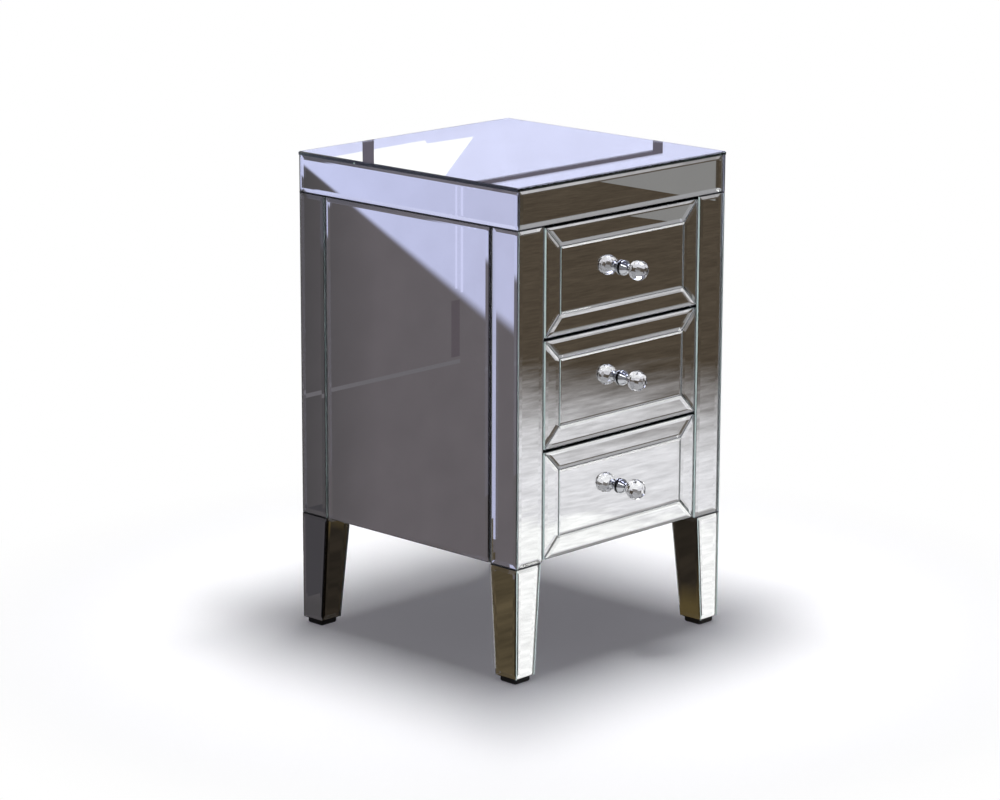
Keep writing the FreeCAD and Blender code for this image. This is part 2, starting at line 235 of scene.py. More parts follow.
def waxedBeech():
    # Planed beech: pink-brown, with short dark flecks and soft growth bands along the runner
    look = beechLook
    material, tree, output, place = newMaterial("waxed beech")
    drawn = addNode(tree, "ShaderNodeMapping", {"Vector": place, "Scale": look["drawnOut"]})
    band = addNode(tree, "ShaderNodeTexNoise", {
        "Vector": drawn.outputs["Vector"], "Scale": perMetre(look["bandMm"]), "Detail": 3.0})
    fleck = addNode(tree, "ShaderNodeTexNoise", {
        "Vector": drawn.outputs["Vector"], "Scale": perMetre(look["fleckMm"]), "Detail": 1.0})
    mark = addNode(tree, "ShaderNodeMapRange", {
        "Value": fleck.outputs["Fac"], "From Min": look["fleckFrom"], "From Max": look["fleckTo"]})
    wood = addNode(tree, "ShaderNodeMix", {
        "Factor": band.outputs["Fac"], "A": linear(look["wood"]), "B": linear(look["band"])},
        data_type="RGBA")
    shade = addNode(tree, "ShaderNodeMix", {
        "Factor": mark.outputs["Result"], "A": wood.outputs["Result"], "B": linear(look["fleck"])},
        data_type="RGBA")
    bump = addNode(tree, "ShaderNodeBump", {
        "Height": fleck.outputs["Fac"], "Distance": look["fleckDepthMm"] * mm, "Strength": 0.5})
    shader = addNode(tree, "ShaderNodeBsdfPrincipled", {
        "Base Color": shade.outputs["Result"], "Roughness": look["roughness"],
        "Normal": bump.outputs["Normal"]})
    tree.links.new(shader.outputs["BSDF"], output.inputs["Surface"])
    return material


crystalLook = {
    "tint": "#fcfcff", "ior": 1.56,
    "filmMm": 4.0, "filmFrom": 0.5, "filmTo": 0.9, "filmRoughness": 0.015,
}


def cutCrystal():
    # Lead crystal, cut and polished: clear, with a higher index than window glass and a trace of polish haze
    look = crystalLook
    material, tree, output, place = newMaterial("cut crystal")
    film = addNode(tree, "ShaderNodeTexNoise", {
        "Vector": place, "Scale": perMetre(look["filmMm"]), "Detail": 2.0})
    haze = addNode(tree, "ShaderNodeMapRange", {
        "Value": film.outputs["Fac"], "From Min": look["filmFrom"], "From Max": look["filmTo"],
        "To Min": 0.0, "To Max": look["filmRoughness"]})
    shader = addNode(tree, "ShaderNodeBsdfPrincipled", {
        "Base Color": linear(look["tint"]), "Roughness": haze.outputs["Result"], "IOR": look["ior"],
        "Transmission Weight": 1.0})
    tree.links.new(shader.outputs["BSDF"], output.inputs["Surface"])
    return material


chromeLook = {
    "tint": "#b9bbc0", "roughFrom": 0.02, "roughTo": 0.09,
    "ringMm": 0.8,                 # turning rings, drawn coarser than they are
    "drawnOut": (0.15, 1.0, 0.15),
}


def chromePlate():
    # Bright chrome plate on a turned base: cold and hard, with faint turning rings
    look = chromeLook
    material, tree, output, place = newMaterial("chrome plate")
    drawn = addNode(tree, "ShaderNodeMapping", {"Vector": place, "Scale": look["drawnOut"]})
    ring = addNode(tree, "ShaderNodeTexNoise", {
        "Vector": drawn.outputs["Vector"], "Scale": perMetre(look["ringMm"]), "Detail": 2.0})
    rough = addNode(tree, "ShaderNodeMapRange", {
        "Value": ring.outputs["Fac"], "To Min": look["roughFrom"], "To Max": look["roughTo"]})
    shader = addNode(tree, "ShaderNodeBsdfPrincipled", {
        "Base Color": linear(look["tint"]), "Metallic": 1.0, "Roughness": rough.outputs["Result"]})
    tree.links.new(shader.outputs["BSDF"], output.inputs["Surface"])
    return material


zincLook = {
    "dark": "#a3a8ae", "light": "#c4c7ca", "roughFrom": 0.28, "roughTo": 0.46,
    "spangleMm": 1.6, "cloudMm": 2.5,
}


def zincPlate():
    # Zinc plated steel: blue-grey, with a patchy, half-dull spangle
    look = zincLook
    material, tree, output, place = newMaterial("zinc plated steel")
    spangle = addNode(tree, "ShaderNodeTexVoronoi", {"Vector": place, "Scale": perMetre(look["spangleMm"])})
    cloud = addNode(tree, "ShaderNodeTexNoise", {
        "Vector": place, "Scale": perMetre(look["cloudMm"]), "Detail": 3.0})
    rough = addNode(tree, "ShaderNodeMapRange", {
        "Value": spangle.outputs["Distance"], "To Min": look["roughFrom"], "To Max": look["roughTo"]})
    shade = addNode(tree, "ShaderNodeMix", {
        "Factor": cloud.outputs["Fac"], "A": linear(look["dark"]), "B": linear(look["light"])},
        data_type="RGBA")
    shader = addNode(tree, "ShaderNodeBsdfPrincipled", {
        "Base Color": shade.outputs["Result"], "Metallic": 1.0, "Roughness": rough.outputs["Result"]})
    tree.links.new(shader.outputs["BSDF"], output.inputs["Surface"])
    return material


nylonLook = {
    "dark": "#0c0c0d", "light": "#1e1e1f", "roughness": 0.55,
    "gritMm": 0.5, "gritHeightMm": 0.05, "scuffMm": 7.0,
}


def mouldedNylon():
    # Black nylon, moulded with a fine matt texture that scuffs a little at the floor
    look = nylonLook
    material, tree, output, place = newMaterial("moulded nylon")
    grit = addNode(tree, "ShaderNodeTexNoise", {
        "Vector": place, "Scale": perMetre(look["gritMm"]), "Detail": 2.0})
    bump = addNode(tree, "ShaderNodeBump", {
        "Height": grit.outputs["Fac"], "Distance": look["gritHeightMm"] * mm, "Strength": 0.6})
    scuff = addNode(tree, "ShaderNodeTexNoise", {
        "Vector": place, "Scale": perMetre(look["scuffMm"]), "Detail": 4.0})
    shade = addNode(tree, "ShaderNodeMix", {
        "Factor": scuff.outputs["Fac"], "A": linear(look["dark"]), "B": linear(look["light"])},
        data_type="RGBA")
    shader = addNode(tree, "ShaderNodeBsdfPrincipled", {
        "Base Color": shade.outputs["Result"], "Roughness": look["roughness"],
        "Normal": bump.outputs["Normal"]})
    tree.links.new(shader.outputs["BSDF"], output.inputs["Surface"])
    return material


frontGlass = mirrorGlass("float glass front", "Y")
sideGlass = mirrorGlass("float glass side", "X")
topGlass = mirrorGlass("float glass top", "Z", "smoothEdge")
legGlass = mirrorGlass("float glass leg")
silver = silverCoat()
frost = groundGlass("ground glass edge", "#afc2c1", "#d0dddc")
# near-white, for the skins that paint the highlight along the upper bevels
bevelHighlight = groundGlass("ground glass bevel", "#f2f2f0", "#fcfcfb")
carcassPaint = blackPaint("black paint on fibreboard", "#121214", "#1f1f22", 0.42)
backPaint = blackPaint("black paint on hardboard", "#19191a", "#2a2928", 0.62)
sideFoil = grainedFoil("black foil lengthways", "Y")
crossFoil = grainedFoil("black foil crossways", "X")
beech = waxedBeech()
crystal = cutCrystal()
chrome = chromePlate()
zinc = zincPlate()
nylon = mouldedNylon()

sideNames = [
    "side_mirror", "stile_mirrors_left", "stile_mirrors_right", "fascia_mirror_left", "fascia_mirror_right"]
finishes = [
    # the first words that a node's name holds decide its finish
    (["leg_mirrors"], legGlass), (["top_mirror"], topGlass), (sideNames, sideGlass),
    (["mirror"], frontGlass), (["knob_ball"], crystal), (["knob_base"], chrome),
    (["screw", "bolts"], zinc), (["glides"], nylon), (["runners"], beech),
    (["box_back"], crossFoil), (["_box_"], sideFoil), (["back_panel"], backPaint), ([""], carcassPaint),
]
for name, node in nodes.items():
    finish = next(material for words, material in finishes if any(word in name for word in words))
    node.data.materials.clear()
    node.data.materials.append(finish)
print("finishes on", len(nodes), "nodes")

weldMm = 0.001                     # corners of a node's loose triangles that are this close are one
softEdge = {
    "boardMm": 0.6, "runnerMm": 0.5,     # rounded where paint, foil or sanding takes the edge off
    "segments": 2, "sharpDegrees": 40,
    "boards": ("corner_post", "side_panel", "back_panel", "bottom_panel", "top_board"),
}


def softenEdges(name, widthMm):
    # the loose triangles are joined first, so that only real edges are rounded
    weld = nodes[name].modifiers.new("join", "WELD")
    weld.merge_threshold = weldMm * mm
    bevel = nodes[name].modifiers.new("softEdge", "BEVEL")
    bevel.width = widthMm * mm
    bevel.segments = softEdge["segments"]
    bevel.limit_method = "ANGLE"
    bevel.angle_limit = math.radians(softEdge["sharpDegrees"])


for name in nodes:
    if name.startswith(softEdge["boards"]) or "_box_" in name:
        softenEdges(name, softEdge["boardMm"])
    elif name.startswith("runners"):
        softenEdges(name, softEdge["runnerMm"])
print("edges of boards and runners softened")


def addPiece(name, bm, material, body):
    mesh = bpy.data.meshes.new(name)
    bm.to_mesh(mesh)
    bm.free()
    mesh.materials.append(material)
    piece = bpy.data.objects.new(name, mesh)
    bpy.context.scene.collection.objects.link(piece)
    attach(piece, body)
    return piece


bodyOf = {node: body for body, members in frame["record"]["behaviour"]["bodies"].items() for node in members}
samePlane = {"facing": 0.99999, "apartMm": 0.01}      # triangles within this lie in one flat face


def sheetsOf(nodeName):
    # The node's glass as a welded copy, with the faces of each sheet and those of its broad rear side
    bm = bmesh.new()
    bm.from_mesh(nodes[nodeName].data)
    bmesh.ops.remove_doubles(bm, verts=bm.verts, dist=weldMm * mm)
    bm.normal_update()
    loose = set(bm.faces)
    sheets = []
    while loose:
        sheet = [loose.pop()]
        for face in sheet:
            joined = {other for edge in face.edges for other in edge.link_faces} & loose
            loose -= joined
            sheet.extend(joined)
        planes = []
        for face in sheet:
            for plane in planes:
                first = plane[0]
                apart = abs((face.verts[0].co - first.verts[0].co).dot(first.normal))
                if face.normal.dot(first.normal) > samePlane["facing"] and apart < samePlane["apartMm"] * mm:
                    plane.append(face)
                    break
            else:
                planes.append([face])
        sheets.append((sheet, max(planes, key=lambda plane: sum(f.calc_area() for f in plane))))
    return bm, sheets


def keepFaces(bm, kept):
    bmesh.ops.delete(bm, geom=[f for f in bm.faces if f not in kept], context="FACES")


def thinLayer(name, bm, outMm, thicknessMm, material, nodeName):
    # The faces, moved outwards or, where outMm is negative, into the glass, and given a thickness
    bm.normal_update()
    for vert, outward in [(v, v.normal.copy()) for v in bm.verts]:
        vert.co += outward * outMm * mm
    bmesh.ops.solidify(bm, geom=bm.faces[:], thickness=thicknessMm * mm)
    bmesh.ops.recalc_face_normals(bm, faces=bm.faces[:])
    for face in bm.faces:
        face.smooth = False
    return addPiece(name + nodeName, bm, material, bodyOf[nodeName])


silverLayer = {
    "marginMm": 0.5,               # bare glass round the silver
    "depthMm": 0.1,                # from the rear of the glass
    "thicknessMm": 0.04,
}


def silverBehind(nodeName):
    # The broad rear face of each sheet in the node, drawn in a little
    look = silverLayer
    bm, sheets = sheetsOf(nodeName)
    keepFaces(bm, {face for sheet, rear in sheets for face in rear})
    margin = bmesh.ops.inset_region(bm, faces=bm.faces[:], thickness=look["marginMm"] * mm,
                                    use_boundary=True, use_even_offset=True)
    bmesh.ops.delete(bm, geom=margin["faces"], context="FACES")
    return thinLayer("silver_", bm, -look["depthMm"], look["thicknessMm"], silver, nodeName)


for name in [n for n in nodes if "mirror" in n]:
    silverBehind(name)
print("silver laid behind the mirrors")

edgeSkin = {
    "outMm": 0.05,                 # how far the skin's outer side stands off the glass
    "thicknessMm": 0.03,
    "cutFacing": 0.3,              # a cut side points less than this along the sheet's broad side
    "rearFacing": 0.9, "levelFacing": 0.5,     # sides that face the wall, up or down stay bare
    "bevelRise": (0.15, 0.5),      # how far the upper bevel of a centre mirror points up
    "bare": ("top", "fascia", "side", "leg_mirrors_rear"),     # mirrors with dark edges
}


def frostedEdges(nodeName):
    # The upright cut sides of each sheet, but not where the glass meets the wall
    look = edgeSkin
    bm, sheets = sheetsOf(nodeName)
    cut = {face for sheet, rear in sheets for face in sheet
           if abs(face.normal.dot(rear[0].normal)) < look["cutFacing"]}
    keepFaces(bm, {face for face in cut if face.normal.y < look["rearFacing"]
                   and abs(face.normal.z) < look["levelFacing"]})
    return thinLayer("frost_", bm, look["outMm"], look["thicknessMm"], frost, nodeName)


def paintBevelHighlight(nodeName):
    # The narrow bevel along the top of a centre mirror, skinned in near-white: a painted highlight that shows
    # as a white line
    look = edgeSkin
    least, most = look["bevelRise"]
    bm, sheets = sheetsOf(nodeName)
    keepFaces(bm, {face for face in bm.faces if least < face.normal.z < most})
    return thinLayer("bevel_", bm, look["outMm"], look["thicknessMm"], bevelHighlight, nodeName)


frosted = [frostedEdges(n) for n in nodes if "mirror" in n and not n.startswith(edgeSkin["bare"])]
# the near-white skins on the upper bevels paint their highlight
frosted += [paintBevelHighlight(n) for n in nodes if "centre_mirror" in n]
print("edges frosted in", len(frosted), "pieces")

sharpAngle = math.radians(35)      # metal shows a crisp line at edges that turn more than this
knobBase = {
    "boreRadius": 2.05, "boreDepth": 8.0,     # mm, for the screw
    # radius and place from the mirror in mm, then the rounding at each of these
    "profile": [(10.0, 0.0), (10.0, 1.3), (8.5, 3.8), (4.8, 9.2), (6.7, 13.2)],
    "rounds": [0.15, 0.5, 1.8, 2.0, 0.3],
    "steps": 64, "roundSegments": 5,
    "mergeMm": 0.002, "findMm": 0.01,         # how close corners are to each other or to a profile point
}


def bellBase(drawer):
    # Turned chrome base with a rounded flange, a bell shoulder and a flared cup
    look = knobBase
    low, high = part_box("drawer_%s_knob_base" % drawer)
    centre = Vector(((low[0] + high[0]) / 2, high[1], (low[2] + high[2]) / 2))
    length = look["profile"][-1][1]
    turnedLine = [(0, look["boreDepth"]), (look["boreRadius"], look["boreDepth"]), (look["boreRadius"], 0)]
    turnedLine += look["profile"] + [(0, length)]
    bm = bmesh.new()
    line = [bm.verts.new(centre + Vector((radius, -along, 0)) * mm) for radius, along in turnedLine]
    edges = [bm.edges.new(pair) for pair in zip(line, line[1:])]
    bmesh.ops.spin(bm, geom=line + edges, cent=centre, axis=(0, 1, 0), angle=2 * math.pi,
                   steps=look["steps"], use_merge=True)
    bmesh.ops.remove_doubles(bm, verts=bm.verts, dist=look["mergeMm"] * mm)
    bmesh.ops.recalc_face_normals(bm, faces=bm.faces[:])
    for (radius, along), rounding in zip(look["profile"], look["rounds"]):
        loop = []
        for edge in bm.edges:
            ends = [(v.co - centre) / mm for v in edge.verts]
            level = all(abs(-p.y - along) < look["findMm"] for p in ends)
            if level and all(abs(math.hypot(p.x, p.z) - radius) < look["findMm"] for p in ends):
                loop.append(edge)
        bmesh.ops.bevel(bm, geom=loop, offset=rounding * mm, offset_type="OFFSET", affect="EDGES",
                        segments=look["roundSegments"], profile=0.5, material=-1)
    for face in bm.faces:
        face.smooth = True
    piece = addPiece("bell_base_" + drawer, bm, chrome, "drawer_" + drawer)
    piece.data.set_sharp_from_angle(angle=sharpAngle)
    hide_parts("drawer_%s_knob_base" % drawer)
    return piece


for drawer in ("top", "middle", "bottom"):
    bellBase(drawer)
print("knob bases turned")

backScrew = {
    "headMm": 7.0, "riseMm": 1.8, "segments": 24, "rings": 12,
    "slotMm": 1.0, "slotDepthMm": 0.8,
    "slotReach": 0.7,              # share of the head's radius
    "edgeMm": 10.0,                # from the edge of the back panel
    "rows": 4, "columns": 3,
    "turnDegrees": 37,             # from one head to the next
    "sinkMm": 0.02,                # into the panel
}


def panHead():
    # One pan head with a cross slot, its flat side at the origin and its dome up Z
    look = backScrew
    radius, slot = look["headMm"] / 2 * mm, look["slotMm"] / 2 * mm
    head = bmesh.new()
    bmesh.ops.create_uvsphere(head, u_segments=look["segments"], v_segments=look["rings"], radius=radius)
    bmesh.ops.bisect_plane(head, geom=head.verts[:] + head.edges[:] + head.faces[:], plane_co=(0, 0, 0),
                           plane_no=(0, 0, 1), clear_inner=True)
    bmesh.ops.holes_fill(head, edges=[e for e in head.edges if e.is_boundary], sides=0)
    bmesh.ops.scale(head, vec=(1, 1, look["riseMm"] * mm / radius), verts=head.verts[:])
    for normal in (Vector((1, 0, 0)), Vector((0, 1, 0))):
        for side in (-slot, slot):
            bmesh.ops.bisect_plane(head, geom=head.verts[:] + head.edges[:] + head.faces[:],
                                   plane_co=normal * side, plane_no=normal)
    head.normal_update()
    cross = []
    for face in head.faces:
        middle = face.calc_center_median()
        inSlot = min(abs(middle.x), abs(middle.y)) < slot
        if face.normal.z > 0 and inSlot and middle.xy.length < look["slotReach"] * radius:
            cross.append(face)
    sunk = bmesh.ops.extrude_face_region(head, geom=cross)["geom"]
    bmesh.ops.translate(head, vec=(0, 0, -look["slotDepthMm"] * mm),
                        verts=[part for part in sunk if isinstance(part, bmesh.types.BMVert)])
    bmesh.ops.recalc_face_normals(head, faces=head.faces[:])
    return head


def spread(first, last, count):
    return [first + (last - first) * i / (count - 1) for i in range(count)]


def screwTheBack():
    # Heads round the edge of the back panel, where it meets the posts and the boards
    look = backScrew
    low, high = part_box("back_panel")
    edge = look["edgeMm"] * mm
    across = spread(low[0] + edge, high[0] - edge, look["columns"])
    upward = spread(low[2] + edge, high[2] - edge, look["rows"])
    places = [(x, z) for x in across for z in upward
              if x in (across[0], across[-1]) or z in (upward[0], upward[-1])]
    shape = bpy.data.meshes.new("panHead")
    head = panHead()
    head.to_mesh(shape)
    head.free()
    bm = bmesh.new()
    for number, (x, z) in enumerate(places):
        before = len(bm.verts)
        bm.from_mesh(shape)
        bm.verts.ensure_lookup_table()
        turn = Matrix.Rotation(math.radians(look["turnDegrees"] * number), 4, "Z")
        lay = Matrix.Rotation(-math.pi / 2, 4, "X")
        place = Matrix.Translation((x, high[1] - look["sinkMm"] * mm, z))
        bmesh.ops.transform(bm, matrix=place @ lay @ turn, verts=bm.verts[before:])
    bpy.data.meshes.remove(shape)
    for face in bm.faces:
        face.smooth = True
    piece = addPiece("back_screws", bm, zinc, "cabinet")
    piece.data.set_sharp_from_angle(angle=sharpAngle)
    return piece


screwTheBack()
print("back panel screwed on")


def flatSheet(name, corners, material):
    bm = bmesh.new()
    bm.faces.new([bm.verts.new(corner) for corner in corners])
    mesh = bpy.data.meshes.new(name)
    bm.to_mesh(mesh)
    bm.free()
    mesh.materials.append(material)
    sheet = bpy.data.objects.new(name, mesh)
    bpy.context.scene.collection.objects.link(sheet)
    return sheet


def card(name, corners, material):
    # A studio card that only shows in mirror, metal and glass
    sheet = flatSheet(name, corners, material)
    sheet.visible_camera = False
    sheet.visible_diffuse = False
    sheet.visible_shadow = False
    return sheet


def uprightCard(name, start, end, zRange, material):
    # stands on the line from start to end
    bottom, top = zRange
    return card(name, [(*start, bottom), (*end, bottom), (*end, top), (*start, top)], material)


def lyingCard(name, xRange, yRange, z, material):
    (left, right), (front, rear) = xRange, yRange
    return card(name, [(left, front, z), (right, front, z), (right, rear, z), (left, rear, z)], material)


def plainGlow(name, hexColour, level=1.0):
    material, tree, output, place = newMaterial(name)
    glow = addNode(tree, "ShaderNodeEmission", {"Color": linear(hexColour), "Strength": level})
    tree.links.new(glow.outputs["Emission"], output.inputs["Surface"])
    return material


def seenDirectly(tree):
    # 1 for rays from the camera, a mirror or glass, 0 for light that is on its way to a dull surface
    path = addNode(tree, "ShaderNodeLightPath")
    first = addNode(tree, "ShaderNodeMath", {
        0: path.outputs["Is Camera Ray"], 1: path.outputs["Is Glossy Ray"]}, operation="MAXIMUM")
    return addNode(tree, "ShaderNodeMath", {
        0: first.outputs[0], 1: path.outputs["Is Transmission Ray"]}, operation="MAXIMUM").outputs[0]


studioFloor = {
    "paper": "#f2f2f4", "fibreMm": 30.0, "fibreHeightMm": 0.05,
    "litRadius": 0.46, "whiteRadius": 0.86, "reach": 40.0,     # metres
    "shadowTint": "#e9e7f2", "shadowLevel": 0.155,     # the paper's glow, so that the shadow isn't black
}


def floorPaper():
    # Pale paper near the chest, where the shadow lies, that turns to plain white further out
    look = studioFloor
    material, tree, output, place = newMaterial("studio floor")
    fibre = addNode(tree, "ShaderNodeTexNoise", {
        "Vector": place, "Scale": perMetre(look["fibreMm"]), "Detail": 3.0})
    bump = addNode(tree, "ShaderNodeBump", {
        "Height": fibre.outputs["Fac"], "Distance": look["fibreHeightMm"] * mm, "Strength": 0.2})
    paper = addNode(tree, "ShaderNodeBsdfDiffuse", {
        "Color": linear(look["paper"]), "Normal": bump.outputs["Normal"]})
    shadowGlow = addNode(tree, "ShaderNodeEmission", {
        "Color": linear(look["shadowTint"]), "Strength": look["shadowLevel"]})
    near = addNode(tree, "ShaderNodeAddShader", {0: paper.outputs[0], 1: shadowGlow.outputs[0]})
    white = addNode(tree, "ShaderNodeEmission", {"Color": (1, 1, 1, 1), "Strength": 1.0})
    distance = addNode(tree, "ShaderNodeVectorMath", {0: place}, operation="LENGTH")
    far = addNode(tree, "ShaderNodeMapRange", {
        "Value": distance.outputs["Value"], "From Min": look["litRadius"], "From Max": look["whiteRadius"]},
        interpolation_type="SMOOTHSTEP")
    share = addNode(tree, "ShaderNodeMath", {0: far.outputs["Result"], 1: seenDirectly(tree)},
                    operation="MULTIPLY")
    mix = addNode(tree, "ShaderNodeMixShader", {0: share.outputs[0], 1: near.outputs[0], 2: white.outputs[0]})
    tree.links.new(mix.outputs[0], output.inputs["Surface"])
    return material


reach = studioFloor["reach"]
flatSheet("floor", [(-reach, -reach, 0), (reach, -reach, 0), (reach, reach, 0), (-reach, reach, 0)],
          floorPaper())

rearCard = {
    "y": 0.30, "half": 2.2, "top": 2.6,                       # metres
    "light": "#c0c4e7", "lightNear": "#b5b7d6", "fade": (0.33, 0.70),
    "upper": "#dcdffe", "upperRise": (0.60, 0.68),
    "shadeRear": "#474547", "shadeNear": "#615c60", "shadeFade": (0.26, 0.42),
    "edgePoint": (0.63, 0.352), "edgeFall": 0.742, "edgeTop": 0.64,     # the slanting edge of the shade
    "edgeStep": (0.646, 0.0145), "stepSoft": 0.003,           # it jumps here, as the stile leans a little
    "softFrom": (0.31, 0.0030), "softTo": (0.70, 0.0136),     # the edge grows softer towards the camera
    "wing": 0.74, "wingSoft": 0.02,                           # beyond the wing all is light
    "level": 1.16, "cloudMm": 60.0, "cloudDepth": 0.04,
}
noiseRange = {"From Min": 0.3, "From Max": 0.7}               # where most of a noise texture's values lie


def rearCardPaper():
    # Light above a slanting edge and shade below it, which the side mirrors and the top show
    look = rearCard
    material, tree, output, place = newMaterial("rear card")
    parts = addNode(tree, "ShaderNodeSeparateXYZ", {"Vector": place})
    across = addNode(tree, "ShaderNodeMath", {0: parts.outputs["X"]}, operation="ABSOLUTE").outputs[0]
    edgeX, edgeZ = look["edgePoint"]
    slant = addNode(tree, "ShaderNodeMath", {
        0: across, 1: -look["edgeFall"], 2: edgeZ + look["edgeFall"] * edgeX}, operation="MULTIPLY_ADD")
    level = addNode(tree, "ShaderNodeMath", {0: slant.outputs[0], 1: look["edgeTop"]}, operation="MINIMUM")
    stepX, stepRise = look["edgeStep"]
    jump = addNode(tree, "ShaderNodeMapRange", {
        "Value": across, "From Min": stepX - look["stepSoft"], "From Max": stepX + look["stepSoft"],
        "To Max": stepRise})
    stepped = addNode(tree, "ShaderNodeMath", {0: level.outputs[0], 1: jump.outputs["Result"]},
                      operation="ADD")
    outer = addNode(tree, "ShaderNodeMapRange", {
        "Value": across, "From Min": look["wing"] - look["wingSoft"],
        "From Max": look["wing"] + look["wingSoft"]})
    inner = addNode(tree, "ShaderNodeMath", {0: stepped.outputs[0], 1: outer.outputs["Result"]},
                    operation="SUBTRACT")
    above = addNode(tree, "ShaderNodeMath", {0: parts.outputs["Z"], 1: inner.outputs[0]},
                    operation="SUBTRACT")
    soft = addNode(tree, "ShaderNodeMapRange", {
        "Value": across, "From Min": look["softFrom"][0], "From Max": look["softTo"][0],
        "To Min": look["softFrom"][1], "To Max": look["softTo"][1]})
    blend = addNode(tree, "ShaderNodeMath", {0: above.outputs[0], 1: soft.outputs["Result"]},
                    operation="DIVIDE")
    lit = addNode(tree, "ShaderNodeMapRange", {
        "Value": blend.outputs[0], "From Min": -1.0, "From Max": 1.0}, interpolation_type="SMOOTHSTEP")
    height = addNode(tree, "ShaderNodeMapRange", {
        "Value": parts.outputs["Z"], "From Min": look["upperRise"][0], "From Max": look["upperRise"][1]})
    fade = addNode(tree, "ShaderNodeMapRange", {
        "Value": across, "From Min": look["fade"][0], "From Max": look["fade"][1]})
    wash = addNode(tree, "ShaderNodeMix", {
        "Factor": fade.outputs["Result"], "A": linear(look["light"]), "B": linear(look["lightNear"])},
        data_type="RGBA")
    bright = addNode(tree, "ShaderNodeMix", {
        "Factor": height.outputs["Result"], "A": wash.outputs["Result"], "B": linear(look["upper"])},
        data_type="RGBA")
    along = addNode(tree, "ShaderNodeMapRange", {
        "Value": across, "From Min": look["shadeFade"][0], "From Max": look["shadeFade"][1]})
    dim = addNode(tree, "ShaderNodeMix", {
        "Factor": along.outputs["Result"], "A": linear(look["shadeRear"]), "B": linear(look["shadeNear"])},
        data_type="RGBA")
    colour = addNode(tree, "ShaderNodeMix", {
        "Factor": lit.outputs["Result"], "A": dim.outputs["Result"], "B": bright.outputs["Result"]},
        data_type="RGBA")
    cloud = addNode(tree, "ShaderNodeTexNoise", {
        "Vector": place, "Scale": perMetre(look["cloudMm"]), "Detail": 6.0})
    strength = addNode(tree, "ShaderNodeMapRange", {
        "Value": cloud.outputs["Fac"], "To Min": (1 - look["cloudDepth"]) * look["level"],
        "To Max": (1 + look["cloudDepth"]) * look["level"], **noiseRange})
    glow = addNode(tree, "ShaderNodeEmission", {
        "Color": colour.outputs["Result"], "Strength": strength.outputs["Result"]})
    tree.links.new(glow.outputs["Emission"], output.inputs["Surface"])
    return material


def onRearCard(name, xRange, zRange, material, nearerMm=0):
    y = rearCard["y"] - nearerMm * mm
    return uprightCard(name, (xRange[0], y), (xRange[1], y), zRange, material)


rearPaper = rearCardPaper()
onRearCard("rearCard", (-rearCard["half"], rearCard["half"]), (0, rearCard["top"]), rearPaper)

# A pool of sunlight painted on the rear card, which the top mirror shows
palePatch = {
    "nearerMm": 2, "colour": "#ffffff", "level": 1.35,
    "outline": [(-0.30, 0.686), (0.115, 0.681), (0.118, 0.686), (0.212, 0.687), (0.159, 0.732),
                (0.09, 0.80), (-0.30, 0.80)],      # across and up, in metres
}
card("palePatch", [(x, rearCard["y"] - palePatch["nearerMm"] * mm, z) for x, z in palePatch["outline"]],
     plainGlow("white patch", palePatch["colour"], palePatch["level"]))

# Painted shadows of a post, a rail and a block on the rear card: dark bars that the top mirror shows
barShadowGlow = plainGlow("dark strip", "#6b6672")
litStripGlow = plainGlow("pale strip", "#d2d4f7", 1.08)
rearStrips = [
    # name, across and up in metres, paper, and how many mm nearer than the rear card
    ("darkPost", (-0.009, 0.013), (0.60, 0.76), barShadowGlow, 4),
    ("darkRail", (0.17, 0.600), (0.751, 0.759), barShadowGlow, 4),
    ("darkBlock", (0.596, 0.619), (0.70, 0.759), barShadowGlow, 4),
    # A moulding strip painted lit above the slanting shade edge, and the same strip in painted shade below it
    ("paleStripA", (-0.575, -0.571), (0.397, 0.66), litStripGlow, 2),
    ("paleStripB", (-0.587, -0.582), (0.390, 0.66), litStripGlow, 2),
    ("dimStrip", (-0.580, -0.563), (0.297, 0.380), plainGlow("dim strip", "#5c555b"), 2),
    ("rearShade", (-0.31, -0.2), (0, 0.13), plainGlow("rear shade", "#454347"), 3),
    ("paleLine", (-0.580, -0.230), (0.287, 0.293), plainGlow("pale line", "#6f6c71"), 3),
]
for strip in rearStrips:
    onRearCard(*strip)
print("rear card and its strips up")

frontCard = {
    "white": "#fbfbfb", "pale": "#e0dfe3", "dark": "#544b40", "darkGrain": "#463d33",
    "centre": (0.0, -0.18, 0.0),                              # metres
    "whiteRadius": 0.66, "whiteSoft": 0.05, "paleRadius": 0.90, "darkRadius": 1.76,
    "level": 1.08, "levelDepth": 0.09,
    "streakMm": 55.0, "streakShift": 0.10, "grainMm": 13.0, "grainDepth": 0.13,
    "drawnOut": (0.3, 1.0, 1.0),                              # texture scale, streaked along X
}


